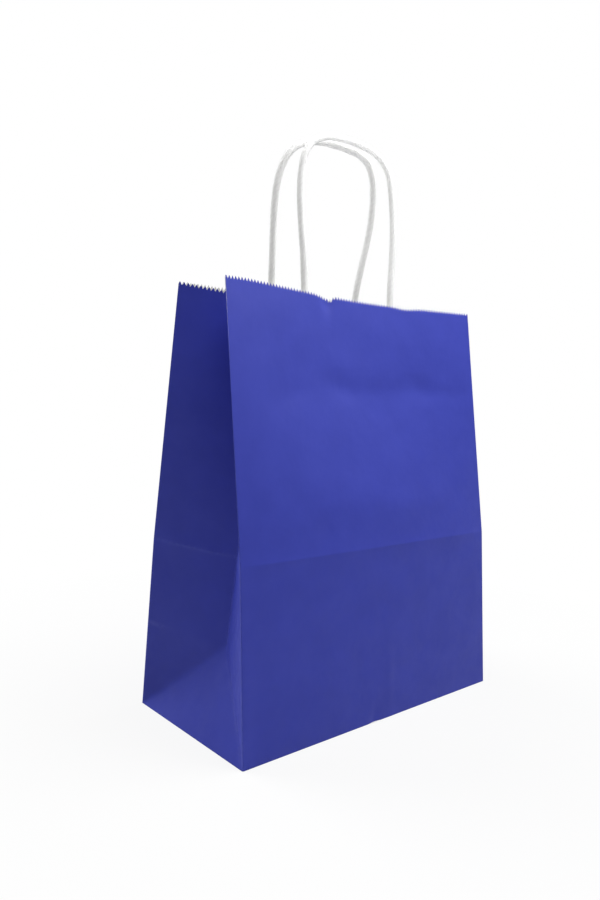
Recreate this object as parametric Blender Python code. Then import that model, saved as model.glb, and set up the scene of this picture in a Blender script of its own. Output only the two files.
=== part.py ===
"""Paper gift bag: one folded sheet with side gussets and a folded bottom, two twisted paper handles,
and the two paper patches that hold the handles inside. Metres, +Z up, origin under the middle of the base."""
import math

import bpy
import numpy as np

MM = 0.001

# Folded sheet
WIDTH = 220 * MM            # front and back panels, fold to fold
DEPTH = 110 * MM            # side gussets, opened out
HEIGHT = 270 * MM           # paper from the bottom fold to the tips of the cut rim
PAPER = 0.25 * MM           # thickness of the sheet
BEND_HEIGHT = 110 * MM      # where the bottom was once folded up flat against the bag
FRONT_BEND_INSET = 9 * MM   # how far the front's corner folds lean in at the bend
FRONT_RIM_INSET = 33 * MM
BACK_BEND_INSET = 8.7 * MM
BACK_RIM_INSET = 29.5 * MM
FRONT_BOW = 10 * MM         # how far the middle of the rim is pushed in, past its corner folds
BACK_BOW = 2 * MM
BOW_ABOVE_BEND = 22 * MM    # the bow starts this far above the bend
BOW_BELOW_RIM = 57 * MM     # and is full this far below the rim, where the stiff patch begins
GUSSET_LEAN = math.radians(29)  # tilt of the gusset's bottom triangle from upright

# Cut rim
TOOTH_PITCH = 2.5 * MM
TOOTH_DEPTH = 2.1 * MM
TEETH_ZONE = 4 * MM         # strip below the tips in which the teeth are set out

# Folded bottom: the front flap lies outermost, then the back flap, then the two gusset tongues
FLAP_LENGTH = 65 * MM
LAYER_BOND = 0.05 * MM      # how far glued layers are merged into each other
WALL_LIFT = 0.16 * MM       # the walls start this far above the outermost face

# Glued lap that closes the tube, inside the back panel
LAP_WIDTH = 18 * MM
LAP_FROM_FOLD = 6 * MM
LAP_STEP = 0.4 * MM         # width of the ramp at each edge of the lap

# Handles: twisted paper rope, both ends glued between the two layers of a patch
ROPE = 4.5 * MM
ROPE_TAIL = 42 * MM         # rope below the rim
FRONT_HANDLE_LEAN = math.radians(6)     # from upright, towards +Y
BACK_HANDLE_LEAN = math.radians(-8)
# Points along each handle in mm: sideways from the bag's middle, then up from the rim
FRONT_ROUTE = [(-41, 0), (-41, 12), (-41.2, 25), (-41.9, 38), (-42.3, 50), (-42.4, 62), (-41, 75.8),
               (-37.5, 88.4), (-30.4, 97.7), (-19, 103.4), (-6, 105.9), (7.3, 106.4), (20, 105.3),
               (31.2, 101.6), (39, 93.6), (42, 80.2), (42.7, 64.2), (42.2, 48.3), (40.6, 32),
               (38.2, 15), (37, 0)]
BACK_ROUTE = [(-43, 0), (-44.6, 12), (-46.3, 26), (-48, 41), (-49.3, 55), (-49.5, 66.6), (-47.4, 78.6),
              (-41.7, 89.6), (-31.4, 96.9), (-18.7, 100.3), (-5.2, 101.4), (7.8, 101.4), (18, 100.3),
              (26.5, 96.6), (32.4, 88.8), (35.9, 77.3), (37.3, 62), (36.7, 47), (34.9, 31),
              (33.2, 15), (32.6, 0)]

# Patches: one strip of paper folded double over the rope's ends, with its fold at the bottom
PATCH_WIDTH = 130 * MM
PATCH_HEIGHT = 41 * MM
PATCH_BELOW_RIM = 10 * MM
PATCH_PAPER = 0.2 * MM
GAP = 0.3 * MM              # between pieces that lie against each other
TENT_WIDTH = 15 * MM        # strip over each rope where the patch stands up
TENT_FADE = 6 * MM          # length below the rope's end where it comes down again

# Fineness of the meshes
PANEL_CELLS = 16
TRIANGLE_CELLS = 4          # rows and columns of the gusset's bottom triangle
LOWER_ROWS = 3              # from the triangle's top to the bend
UPPER_ROWS = 8
PATCH_ROWS = 6
ROPE_SIDES = 12
ROPE_SAMPLE = 8 * MM

BLUE = (0.045, 0.052, 0.29)
WHITE = (0.80, 0.80, 0.79)

FRONT, BACK = -1, 1         # which way each panel faces along Y
BEND_INSET = {FRONT: FRONT_BEND_INSET, BACK: BACK_BEND_INSET}
RIM_INSET = {FRONT: FRONT_RIM_INSET, BACK: BACK_RIM_INSET}
BOW = {FRONT: FRONT_BOW, BACK: BACK_BOW}
HALF_WIDTH = WIDTH / 2
HALF_DEPTH = DEPTH / 2
UPPER = HEIGHT - BEND_HEIGHT
PERIMETER = 2 * (WIDTH + DEPTH)


# Shape of the folded sheet. A place on it is s, the flat distance around the tube from the front's
# left corner fold, and v, the flat height above the bottom fold.
def lean(side, v):
    """Inset and height of a panel's corner folds at v: two straight legs that meet at the bend."""
    low = min(v, BEND_HEIGHT) / BEND_HEIGHT
    high = max(v - BEND_HEIGHT, 0) / UPPER
    step = RIM_INSET[side] - BEND_INSET[side]
    rise_low = math.sqrt(BEND_HEIGHT ** 2 - BEND_INSET[side] ** 2)
    rise_high = math.sqrt(UPPER ** 2 - step ** 2)
    return BEND_INSET[side] * low + step * high, rise_low * low + rise_high * high


def panel_point(side, x, v):
    """Front or back panel. Above the bend it bows inwards by a cosine across the width, with a slope
    up the height that is nearly even between its two ends, so its middle ends a little lower."""
    inset, height = lean(side, v)
    bow = BOW[side] * math.cos(math.pi * min(abs(x) / WIDTH, 0.5))
    step = RIM_INSET[side] - BEND_INSET[side]
    dip = math.sqrt(UPPER ** 2 - step ** 2) - math.sqrt(UPPER ** 2 - (step + bow) ** 2)
    share = (v - BEND_HEIGHT - BOW_ABOVE_BEND) / (UPPER - BOW_ABOVE_BEND - BOW_BELOW_RIM)
    share = min(max(share, 0), 1)
    rise = 7 / 6 * (share - (1 + (2 * share - 1) ** 7) / 14)
    y = side * (HALF_DEPTH - inset - bow * rise)
    return np.array([x, y, WALL_LIFT + height - dip * rise])


def inside_panel(side, x, v, depth):
    """A point at a depth behind a panel's outer face, square to it."""
    reach = 1 * MM
    across = panel_point(side, x + reach, v) - panel_point(side, x - reach, v)
    upward = panel_point(side, x, v + reach) - panel_point(side, x, v - reach)
    normal = side * np.cross(across, upward)
    return panel_point(side, x, v) + normal / np.linalg.norm(normal) * depth


def centre_fold(end, v):
    """Middle fold of the gusset at the -X or +X end: up the bottom triangle to its apex, then
    straight to the rim, sunk there as deep as the two gusset halves reach over the mouth."""
    foot = np.array([end * HALF_WIDTH, 0, WALL_LIFT])
    tilt = np.array([-end * math.sin(GUSSET_LEAN), 0, math.cos(GUSSET_LEAN)])
    if v <= HALF_DEPTH:
        return foot + tilt * v
    front_y = panel_point(FRONT, HALF_WIDTH, HEIGHT)[1]
    back_y = panel_point(BACK, HALF_WIDTH, HEIGHT)[1]
    sink = math.sqrt(max(HALF_DEPTH ** 2 - (back_y - front_y) ** 2 / 4, 0))
    inward_run = sink - HALF_DEPTH * math.sin(GUSSET_LEAN)
    side_run = (front_y + back_y) / 2
    run = HEIGHT - HALF_DEPTH
    climb = math.sqrt(run ** 2 - inward_run ** 2 - side_run ** 2)
    rise = np.array([-end * inward_run, side_run, climb]) / run
    return foot + tilt * HALF_DEPTH + rise * (v - HALF_DEPTH)


def gusset_point(end, side, t, v):
    """One half of a gusset, at t across from its corner fold. Below the apex a diagonal fold runs
    along t = v, and the paper past it is the flat bottom triangle."""
    corner = panel_point(side, end * HALF_WIDTH, v)
    middle = centre_fold(end, v)
    if v >= HALF_DEPTH:
        return corner + (middle - corner) * t / HALF_DEPTH
    base = panel_point(side, end * HALF_WIDTH, 0)
    diagonal = base + (centre_fold(end, HALF_DEPTH) - base) * v / HALF_DEPTH
    if t <= v:
        return corner + (diagonal - corner) * (t / v if v else 0)
    return diagonal + (middle - diagonal) * (t - v) / (HALF_DEPTH - v)


def sheet_point(s, v):
    """The sheet's outer face, panel by panel, against the clock as seen from above."""
    if s <= WIDTH:
        return panel_point(FRONT, s - HALF_WIDTH, v)
    if s <= WIDTH + DEPTH:
        t = s - WIDTH
        return gusset_point(1, FRONT, t, v) if t <= HALF_DEPTH else gusset_point(1, BACK, DEPTH - t, v)
    if s <= 2 * WIDTH + DEPTH:
        return panel_point(BACK, HALF_WIDTH - (s - WIDTH - DEPTH), v)
    t = s - 2 * WIDTH - DEPTH
    return gusset_point(-1, BACK, t, v) if t <= HALF_DEPTH else gusset_point(-1, FRONT, DEPTH - t, v)


def sheet_thickness(s):
    """Single paper, and double inside the glued lap."""
    start = WIDTH + DEPTH + LAP_FROM_FOLD
    rise = np.interp(s, [start, start + LAP_STEP, start + LAP_WIDTH, start + LAP_WIDTH + LAP_STEP], [0, 1, 1, 0])
    return PAPER * (1 + rise)


# Meshes
def material(name, colour, roughness):
    made = bpy.data.materials.new(name)
    made.use_nodes = True
    shader = made.node_tree.nodes["Principled BSDF"]
    shader.inputs["Base Color"].default_value = (*colour, 1)
    shader.inputs["Roughness"].default_value = roughness
    shader.inputs["Metallic"].default_value = 0
    return made


def add_object(name, points, faces, look):
    mesh = bpy.data.meshes.new(name)
    mesh.from_pydata([tuple(p) for p in points], [], faces)
    mesh.materials.append(look)
    made = bpy.data.objects.new(name, mesh)
    bpy.context.scene.collection.objects.link(made)
    return made


def combine(base, operand, operation):
    step = base.modifiers.new(operand.name, "BOOLEAN")
    step.operation = operation
    step.solver = "EXACT"
    step.object = operand
    operand.hide_render = True
    operand.display_type = "WIRE"


def steps_inwards(points, faces, thickness):
    """From each point of a sheet to its other face: the way to where the planes of the point's own
    faces meet once they are pushed back by the thickness, or to the nearest such place."""
    normals = [[] for _ in points]
    for face in faces:
        a, b, c = (points[i] for i in face[:3])
        normal = np.cross(b - a, c - a)
        for i in face:
            normals[i].append(normal / np.linalg.norm(normal))
    return np.array([np.linalg.lstsq(np.array(planes), np.full(len(planes), -depth), rcond=0.1)[0]
                     for planes, depth in zip(normals, thickness)])


def column_places():
    """Where the mesh's columns stand around the tube: on every fold, evenly between them, and at
    the lap's edges."""
    panel = np.linspace(0, WIDTH, PANEL_CELLS + 1)
    gusset = np.linspace(0, DEPTH, 2 * TRIANGLE_CELLS + 1)
    start = WIDTH + DEPTH + LAP_FROM_FOLD
    lap = [start, start + LAP_STEP, start + LAP_WIDTH, start + LAP_WIDTH + LAP_STEP]
    back = [s for s in WIDTH + DEPTH + panel[:-1] if s < start - LAP_STEP or s > lap[-1] + LAP_STEP]
    return [*panel[:-1], *(WIDTH + gusset[:-1]), *sorted(back + lap), *(2 * WIDTH + DEPTH + gusset[:-1])]


def row_heights():
    triangle = np.linspace(0, HALF_DEPTH, TRIANGLE_CELLS + 1)
    lower = np.linspace(HALF_DEPTH, BEND_HEIGHT, LOWER_ROWS + 1)[1:]
    upper = np.linspace(BEND_HEIGHT, HEIGHT - TEETH_ZONE, UPPER_ROWS + 1)[1:]
    return [*triangle, *lower, *upper]


def diagonal_faces(a, b, c, d, s, v):
    """Split a grid cell of a gusset's triangle along its diagonal fold: rising to the right on the
    first half of a gusset, and to the left on the second."""
    across = s - WIDTH if s < WIDTH + DEPTH else s - 2 * WIDTH - DEPTH
    cell = HALF_DEPTH / TRIANGLE_CELLS
    if abs(across - v) < cell / 2:
        return [(a, b, c), (a, c, d)]
    if abs(DEPTH - across - cell - v) < cell / 2:
        return [(a, b, d), (b, c, d)]
    return [(a, b, c, d)]


def steps_at_rim(columns, top_row, rim, reach):
    """Steps inwards along the rim, between those of the columns on either side. The long step of a
    fold's own column reaches only half a tooth each way, so that both faces' teeth stand in line."""
    known = list(zip(columns, top_row))
    for fold in (0, WIDTH, WIDTH + HALF_DEPTH, WIDTH + DEPTH, 2 * WIDTH + DEPTH, PERIMETER - HALF_DEPTH):
        at = int(np.argmin(np.abs(np.array(columns) - fold)))
        known += [(fold - reach, top_row[at - 1]), (fold + reach, top_row[(at + 1) % len(columns)])]
    places, steps = zip(*known)
    return np.transpose([np.interp(rim, places, axis, period=PERIMETER) for axis in np.transpose(steps)])


def folded_sheet(look):
    columns, rows = column_places(), row_heights()
    count = len(columns)
    points = [sheet_point(s, v) for v in rows for s in columns]
    thickness = [sheet_thickness(s) for _ in rows for s in columns]
    faces = []
    for row, v in enumerate(rows[:-1]):
        for column, s in enumerate(columns):
            right = (column + 1) % count
            low, high = row * count, (row + 1) * count
            cell = (low + column, low + right, high + right, high + column)
            in_gusset = WIDTH <= s < WIDTH + DEPTH or s >= 2 * WIDTH + DEPTH
            split = in_gusset and v < HALF_DEPTH
            faces += diagonal_faces(*cell, s, v) if split else [cell]
    inwards = steps_inwards(points, faces, thickness)

    # Teeth: a row of roots, one of them on each fold, fanned from the nearer column below, and a
    # triangle up to a tip between every two
    teeth = round(PERIMETER / TOOTH_PITCH)
    pitch = PERIMETER / teeth
    first = len(points)
    below, tip = first - count, first + teeth
    roots = np.arange(teeth) * pitch
    points += [sheet_point(s, HEIGHT - TOOTH_DEPTH) for s in roots]
    points += [sheet_point(s + pitch / 2, HEIGHT) for s in roots]
    for column, s in enumerate(columns):
        after = columns[column + 1] if column + 1 < count else PERIMETER
        start, stop = round(s / pitch), round(after / pitch)
        middle = (start + stop) // 2
        left, right = below + column, below + (column + 1) % count
        root = [first + k % teeth for k in range(start, stop + 1)]
        for k in range(stop - start):
            faces.append((left if start + k < middle else right, root[k + 1], root[k]))
        faces.append((left, right, root[middle - start]))
    faces += [(first + k, first + (k + 1) % teeth, tip + k) for k in range(teeth)]

    shift = len(points)
    rim_steps = steps_at_rim(columns, inwards[below:], [*roots, *(roots + pitch / 2)], pitch / 2)
    inner = list(np.array(points) + np.vstack([inwards, rim_steps]))
    # Turned round about its first corner, a face keeps its diagonal, so both faces bend alike
    turned = [(face[0], *reversed(face[1:])) for face in faces]
    closed = faces + [tuple(i + shift for i in face) for face in turned]
    rim = [i for k in range(teeth) for i in (first + k, tip + k)]
    for a, b in zip(rim, rim[1:] + rim[:1]):
        closed.append((a, b, b + shift, a + shift))
    for column in range(count):
        a, b = column, (column + 1) % count
        closed.append((b, a, a + shift, b + shift))
    return add_object("bag_body", points + inner, closed, look)


def layer(name, outline, low, high, look):
    """A flat sheet of paper from its outline, against the clock as seen from above."""
    count = len(outline)
    points = [(x, y, low) for x, y in outline] + [(x, y, high) for x, y in outline]
    faces = [tuple(reversed(range(count))), tuple(range(count, 2 * count))]
    faces += [(i, (i + 1) % count, (i + 1) % count + count, i + count) for i in range(count)]
    return add_object(name, points, faces, look)


def folded_bottom(body, look):
    """Flaps with 45 degree mitred ends over the gusset tongues. Their edges end inside the walls'
    thickness, so that the union has no faces that lie on each other."""
    half_y = HALF_DEPTH - PAPER / 2
    half_x = HALF_WIDTH - PAPER / 2
    free_x, free_y = half_x - FLAP_LENGTH, half_y - FLAP_LENGTH
    for name, side, depth in (("front_flap", FRONT, 0), ("back_flap", BACK, 1)):
        outline = [(-half_x, side * half_y), (half_x, side * half_y),
                   (free_x, side * free_y), (-free_x, side * free_y)]
        outline = outline if side == FRONT else outline[::-1]
        low = depth * PAPER - (LAYER_BOND if depth else 0)
        combine(body, layer(name, outline, low, (depth + 1) * PAPER, look), "UNION")

    low, high = 2 * PAPER - LAYER_BOND, 3 * PAPER
    lean_in = ((low + high) / 2 - WALL_LIFT) * math.tan(GUSSET_LEAN) + PAPER / 2 / math.cos(GUSSET_LEAN)
    root = HALF_WIDTH - lean_in
    for name, end in (("left_tongue", -1), ("right_tongue", 1)):
        xs = sorted((end * root, end * (HALF_WIDTH - FLAP_LENGTH)))
        outline = [(xs[0], -half_y), (xs[1], -half_y), (xs[1], half_y), (xs[0], half_y)]
        combine(body, layer(name, outline, low, high, look), "UNION")


# Handles and patches
ROPE_DEPTH = PAPER + GAP + PATCH_PAPER + GAP + ROPE / 2     # rope's middle behind the panel's outer face


def smooth_curve(points, spacing):
    """Cubic arcs through the points, each with the slope of the chord past it, cut at even steps."""
    points = np.array(points)
    length = np.concatenate([[0], np.cumsum(np.linalg.norm(np.diff(points, axis=0), axis=1))])
    slope = np.gradient(points, length, axis=0)
    fine = np.linspace(0, length[-1], 40 * len(points))
    index = np.clip(np.searchsorted(length, fine, side="right") - 1, 0, len(points) - 2)
    span = (length[index + 1] - length[index])[:, None]
    u = (fine - length[index])[:, None] / span
    curve = ((2 * u ** 3 - 3 * u ** 2 + 1) * points[index] + (u ** 3 - 2 * u ** 2 + u) * span * slope[index]
             + (3 * u ** 2 - 2 * u ** 3) * points[index + 1] + (u ** 3 - u ** 2) * span * slope[index + 1])
    run = np.concatenate([[0], np.cumsum(np.linalg.norm(np.diff(curve, axis=0), axis=1))])
    steps = np.linspace(0, run[-1], round(run[-1] / spacing) + 1)
    return np.stack([np.interp(steps, run, curve[:, axis]) for axis in range(3)], axis=1)


def tube(name, path, radius, look):
    """Round sections square to the path, each turned as little as possible from the last."""
    tangents = np.gradient(path, axis=0)
    tangents /= np.linalg.norm(tangents, axis=1)[:, None]
    axis = np.array([0.0, 1.0, 0.0])
    points, faces = [], []
    for place, tangent in zip(path, tangents):
        axis = axis - tangent * np.dot(axis, tangent)
        axis /= np.linalg.norm(axis)
        other = np.cross(tangent, axis)
        for k in range(ROPE_SIDES):
            angle = 2 * math.pi * k / ROPE_SIDES
            points.append(place + radius * (math.cos(angle) * axis + math.sin(angle) * other))
    for ring in range(len(path) - 1):
        for k in range(ROPE_SIDES):
            a, b = ring * ROPE_SIDES + k, ring * ROPE_SIDES + (k + 1) % ROPE_SIDES
            faces.append((a, b, b + ROPE_SIDES, a + ROPE_SIDES))
    last = (len(path) - 1) * ROPE_SIDES
    faces.append(tuple(reversed(range(ROPE_SIDES))))
    faces.append(tuple(range(last, last + ROPE_SIDES)))
    return add_object(name, points, faces, look)


def handle_path(side, route, handle_lean):
    """Straight up inside the patch at each end, and between them over the route, which lies in a
    plane that leans from the rim."""
    left, right = route[0][0] * MM, route[-1][0] * MM
    inside = np.linspace(HEIGHT - ROPE_TAIL, HEIGHT, 5)
    up = [inside_panel(side, left, v, ROPE_DEPTH) for v in inside]
    down = [inside_panel(side, right, v, ROPE_DEPTH) for v in inside[::-1]]
    rim = (up[-1] + down[0]) / 2
    rise = np.array([0, math.sin(handle_lean), math.cos(handle_lean)])
    arch = [np.array([x * MM, rim[1], rim[2]]) + rise * h * MM for x, h in route[1:-1]]
    return smooth_curve(up + arch + down, ROPE_SAMPLE)


def patch(name, side, route, path, look):
    """Two flat layers that stand up in a tent over each rope end, less a channel for the rope."""
    legs = [route[0][0] * MM, route[-1][0] * MM]
    middle = sum(legs) / 2
    flat = np.linspace(middle - PATCH_WIDTH / 2, middle + PATCH_WIDTH / 2, 9)
    flat = [x for x in flat if min(abs(x - leg) for leg in legs) > TENT_WIDTH / 2]
    tents = [leg + TENT_WIDTH * share for leg in legs for share in np.linspace(-0.5, 0.5, 11)]
    xs = np.array(sorted(flat + tents))
    top = HEIGHT - PATCH_BELOW_RIM
    rope_end = HEIGHT - ROPE_TAIL
    fold = top - PATCH_HEIGHT
    fade = [rope_end - TENT_FADE, rope_end - TENT_FADE / 2, rope_end - GAP]
    vs = np.array([fold, *fade, *np.linspace(rope_end - GAP, top, PATCH_ROWS)[1:]])

    def tent(x, v):
        near = min(abs(x - leg) for leg in legs) / (TENT_WIDTH / 2)
        across = math.cos(math.pi / 2 * min(near, 1)) ** 2
        along = np.interp(v, [rope_end - TENT_FADE, rope_end - GAP], [0, 1])
        return (ROPE + 2 * GAP) * across * along

    back = PAPER + GAP
    outer = [inside_panel(side, x, v, back) for v in vs for x in xs]
    inner = [inside_panel(side, x, v, back + 2 * PATCH_PAPER + tent(x, v)) for v in vs for x in xs]
    columns, rows = len(xs), len(vs)
    shift = len(outer)
    faces = []
    for row in range(rows - 1):
        for column in range(columns - 1):
            a = row * columns + column
            cell = (a, a + 1, a + 1 + columns, a + columns)
            faces.append(cell if side == FRONT else cell[::-1])
            other = tuple(i + shift for i in cell)
            faces.append(other[::-1] if side == FRONT else other)
    edge = [*range(columns - 1), *range(columns - 1, rows * columns - 1, columns),
            *range(rows * columns - 1, (rows - 1) * columns, -1), *range((rows - 1) * columns, 0, -columns)]
    for a, b in zip(edge, edge[1:] + edge[:1]):
        wall = (b, a, a + shift, b + shift)
        faces.append(wall if side == FRONT else wall[::-1])
    made = add_object(name, outer + inner, faces, look)

    # The channels start a gap below the rope's ends and run out at the patch's top
    above = round((ROPE_TAIL - PATCH_BELOW_RIM) / ROPE_SAMPLE) + 2
    for end, leg in (("left", path[:above + 1]), ("right", path[::-1][:above + 1])):
        down = (leg[0] - leg[1]) / np.linalg.norm(leg[0] - leg[1])
        route_down = np.concatenate([[leg[0] + down * GAP], leg])
        combine(made, tube(f"{name}_{end}_channel", route_down, ROPE / 2 + GAP, look), "DIFFERENCE")
    return made


def build():
    for item in list(bpy.data.objects):
        bpy.data.objects.remove(item, do_unlink=True)
    blue = material("blue_paper", BLUE, 0.5)
    white = material("white_paper", WHITE, 0.85)
    body = folded_sheet(blue)
    folded_bottom(body, blue)
    for place, side, route, handle_lean in (("front", FRONT, FRONT_ROUTE, FRONT_HANDLE_LEAN),
                                            ("back", BACK, BACK_ROUTE, BACK_HANDLE_LEAN)):
        path = handle_path(side, route, handle_lean)
        handle = tube(f"handle_{place}", path, ROPE / 2, white)
        handle.data.shade_smooth()
        handle.data.set_sharp_from_angle(angle=math.radians(50))
        patch(f"patch_{place}", side, route, path, white)
        length = np.linalg.norm(np.diff(path, axis=0), axis=1).sum()
        print(f"handle_{place}: {length / MM:.0f} mm of rope")


build()
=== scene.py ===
# %% [markdown]
# # A blue paper gift bag
#
# The real bag is one sheet of paper. It is blue on the outside and white inside, folded into a tube
# with two side gussets and closed by a folded, glued bottom. Its rim is cut with pinking blades, and
# the ends of its two handles of twisted white paper rope are glued into doubled strips of paper inside.
#
# The sizes are those of the imported model. This script makes the finish: the sheet with its soft folds,
# dents and worn creases, with a painted highlight along the corner folds, the rope with its twist and
# painted shade in its grooves, the patches, the light and the camera.

# %% Load the imported model
import math

import bpy
import numpy as np
from mathutils import Matrix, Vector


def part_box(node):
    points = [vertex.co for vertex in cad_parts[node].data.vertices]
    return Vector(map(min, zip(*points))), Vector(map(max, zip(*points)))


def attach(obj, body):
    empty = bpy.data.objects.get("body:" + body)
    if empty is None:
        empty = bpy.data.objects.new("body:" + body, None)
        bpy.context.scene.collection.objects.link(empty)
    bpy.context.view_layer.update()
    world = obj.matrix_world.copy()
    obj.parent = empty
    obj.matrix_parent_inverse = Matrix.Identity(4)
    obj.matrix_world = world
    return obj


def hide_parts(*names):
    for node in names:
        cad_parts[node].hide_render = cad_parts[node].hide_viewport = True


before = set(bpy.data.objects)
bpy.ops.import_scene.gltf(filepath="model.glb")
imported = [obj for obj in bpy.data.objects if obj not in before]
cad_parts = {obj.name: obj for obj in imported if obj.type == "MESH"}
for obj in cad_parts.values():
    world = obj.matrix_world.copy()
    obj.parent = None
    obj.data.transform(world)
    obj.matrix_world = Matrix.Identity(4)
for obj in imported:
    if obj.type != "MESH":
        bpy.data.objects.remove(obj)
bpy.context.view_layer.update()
MM = 0.001

# %% [markdown]
# ## The camera
#
# The camera comes first, because everything after it is seen through it. It stands in front of the
# bag's left corner, a little below the rim, and looks slightly down, with a small roll. The lens is
# given for a sensor that spans the picture's longer side, as Blender has it.

# %% Camera
CAMERA_PLACE = (-344.6 * MM, -358.6 * MM, 204.2 * MM)
CAMERA_YAW = math.radians(-41.21)
CAMERA_PITCH = math.radians(-4.31)
CAMERA_ROLL = math.radians(2.42)
CAMERA_LENS = 29.47


def add_camera():
    """Axes from three turns: yaw about the upright, pitch about the right, roll about the view."""
    forward = np.array([-math.sin(CAMERA_YAW) * math.cos(CAMERA_PITCH),
                        math.cos(CAMERA_YAW) * math.cos(CAMERA_PITCH), math.sin(CAMERA_PITCH)])
    level = np.array([math.cos(CAMERA_YAW), math.sin(CAMERA_YAW), 0])
    upright = np.cross(level, forward)
    right = math.cos(CAMERA_ROLL) * level + math.sin(CAMERA_ROLL) * upright
    up = math.cos(CAMERA_ROLL) * upright - math.sin(CAMERA_ROLL) * level
    camera = bpy.data.objects.new("camera", bpy.data.cameras.new("camera"))
    camera.data.lens = CAMERA_LENS
    camera.data.clip_start = 0.01
    axes = np.stack([right, up, -forward], axis=1)
    camera.matrix_world = Matrix.Translation(CAMERA_PLACE) @ Matrix(axes.tolist()).to_4x4()
    bpy.context.scene.collection.objects.link(camera)
    bpy.context.scene.camera = camera
    return camera


print("camera lens", add_camera().data.lens)

# %% [markdown]
# ## The folded sheet as a function
#
# A place on the sheet has two flat coordinates: s, the distance around the tube from the front's left
# corner fold, and v, the height above the bottom fold. A function turns s and v into a point in space.
# That is how a paper maker thinks of a bag, and every crease stays a straight line in s and v. The
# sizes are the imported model's own, so the finished sheet lies where the plain solid lies.

# %% Sizes of the sheet
WIDTH, DEPTH, HEIGHT = 220 * MM, 110 * MM, 270 * MM
PAPER = 0.25 * MM
BEND_HEIGHT = 110 * MM
FRONT, BACK = -1, 1
BEND_INSET = {FRONT: 9 * MM, BACK: 8.7 * MM}
RIM_INSET = {FRONT: 33 * MM, BACK: 29.5 * MM}
BOW = {FRONT: 10 * MM, BACK: 2 * MM}
BOW_ABOVE_BEND, BOW_BELOW_RIM = 22 * MM, 57 * MM
GUSSET_LEAN = math.radians(29)
# The walls end this far above the ground, where the sheet turns under
WALL_LIFT = 0.16 * MM
HALF_WIDTH, HALF_DEPTH = WIDTH / 2, DEPTH / 2
UPPER = HEIGHT - BEND_HEIGHT
PERIMETER = 2 * (WIDTH + DEPTH)
CORNERS = np.array([0, WIDTH, WIDTH + DEPTH, 2 * WIDTH + DEPTH, PERIMETER])
FOLDS = np.sort(np.append(CORNERS, [WIDTH + HALF_DEPTH, PERIMETER - HALF_DEPTH]))
lowest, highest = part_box("bag_body")
print("plain sheet from", [round(float(n), 4) for n in lowest], "to", [round(float(n), 4) for n in highest])


# %% Panels
def stack(x, y, z):
    return np.stack(np.broadcast_arrays(x, y, z), axis=-1)


def panel(side, x, v):
    """Front or back. The corner folds lean in by two straight legs that meet at the bend. Above it the
    panel bows in by a cosine across the width, with a slope up the height that is nearly even:
    7/6 (t - (1 + (2t - 1)^7) / 14), where t runs from 0 at the bow's start to 1 at its end."""
    low = np.minimum(v, BEND_HEIGHT) / BEND_HEIGHT
    high = np.maximum(v - BEND_HEIGHT, 0) / UPPER
    step = RIM_INSET[side] - BEND_INSET[side]
    inset = BEND_INSET[side] * low + step * high
    height = (math.sqrt(BEND_HEIGHT ** 2 - BEND_INSET[side] ** 2) * low
              + math.sqrt(UPPER ** 2 - step ** 2) * high)
    bow = BOW[side] * np.cos(math.pi * np.minimum(np.abs(x) / WIDTH, 0.5))
    dip = math.sqrt(UPPER ** 2 - step ** 2) - np.sqrt(UPPER ** 2 - (step + bow) ** 2)
    t = np.clip((v - BEND_HEIGHT - BOW_ABOVE_BEND) / (UPPER - BOW_ABOVE_BEND - BOW_BELOW_RIM), 0, 1)
    rise = 7 / 6 * (t - (1 + (2 * t - 1) ** 7) / 14)
    return stack(x, side * (HALF_DEPTH - inset - bow * rise), WALL_LIFT + height - dip * rise)


def centre_fold(end, v):
    """A gusset's middle fold: up the leaning bottom triangle to its apex, then straight to the rim."""
    foot = np.array([end * HALF_WIDTH, 0, WALL_LIFT])
    tilt = np.array([-end * math.sin(GUSSET_LEAN), 0, math.cos(GUSSET_LEAN)])
    front_y = panel(FRONT, HALF_WIDTH, HEIGHT)[1]
    back_y = panel(BACK, HALF_WIDTH, HEIGHT)[1]
    mouth = back_y - front_y
    inward_run = math.sqrt(HALF_DEPTH ** 2 - mouth ** 2 / 4) - HALF_DEPTH * math.sin(GUSSET_LEAN)
    side_run = (front_y + back_y) / 2
    run = HEIGHT - HALF_DEPTH
    climb = math.sqrt(run ** 2 - inward_run ** 2 - side_run ** 2)
    rise = np.array([-end * inward_run, side_run, climb]) / run
    v = np.asarray(v)[..., None]
    return foot + tilt * np.minimum(v, HALF_DEPTH) + rise * np.maximum(v - HALF_DEPTH, 0)


def gusset(end, side, t, v):
    """Half a gusset at t from its corner fold: ruled from the corner to the middle fold above the
    apex. Below it, ruled to the diagonal at t = v, and past that the flat bottom triangle."""
    corner, middle = panel(side, end * HALF_WIDTH + 0 * v, v), centre_fold(end, v)
    base, apex = panel(side, end * HALF_WIDTH, 0.0), centre_fold(end, HALF_DEPTH)
    low = np.clip(v, 0, HALF_DEPTH)
    diagonal = base + (apex - base) * (low / HALF_DEPTH)[..., None]
    near = (t / np.maximum(low, 1e-9))[..., None]
    past = ((t - low) / np.maximum(HALF_DEPTH - low, 1e-9))[..., None]
    above = corner + (middle - corner) * (t / HALF_DEPTH)[..., None]
    triangle = diagonal + (middle - diagonal) * past
    below = np.where(near <= 1, corner + (diagonal - corner) * near, triangle)
    return np.where((v >= HALF_DEPTH)[..., None], above, below)


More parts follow.
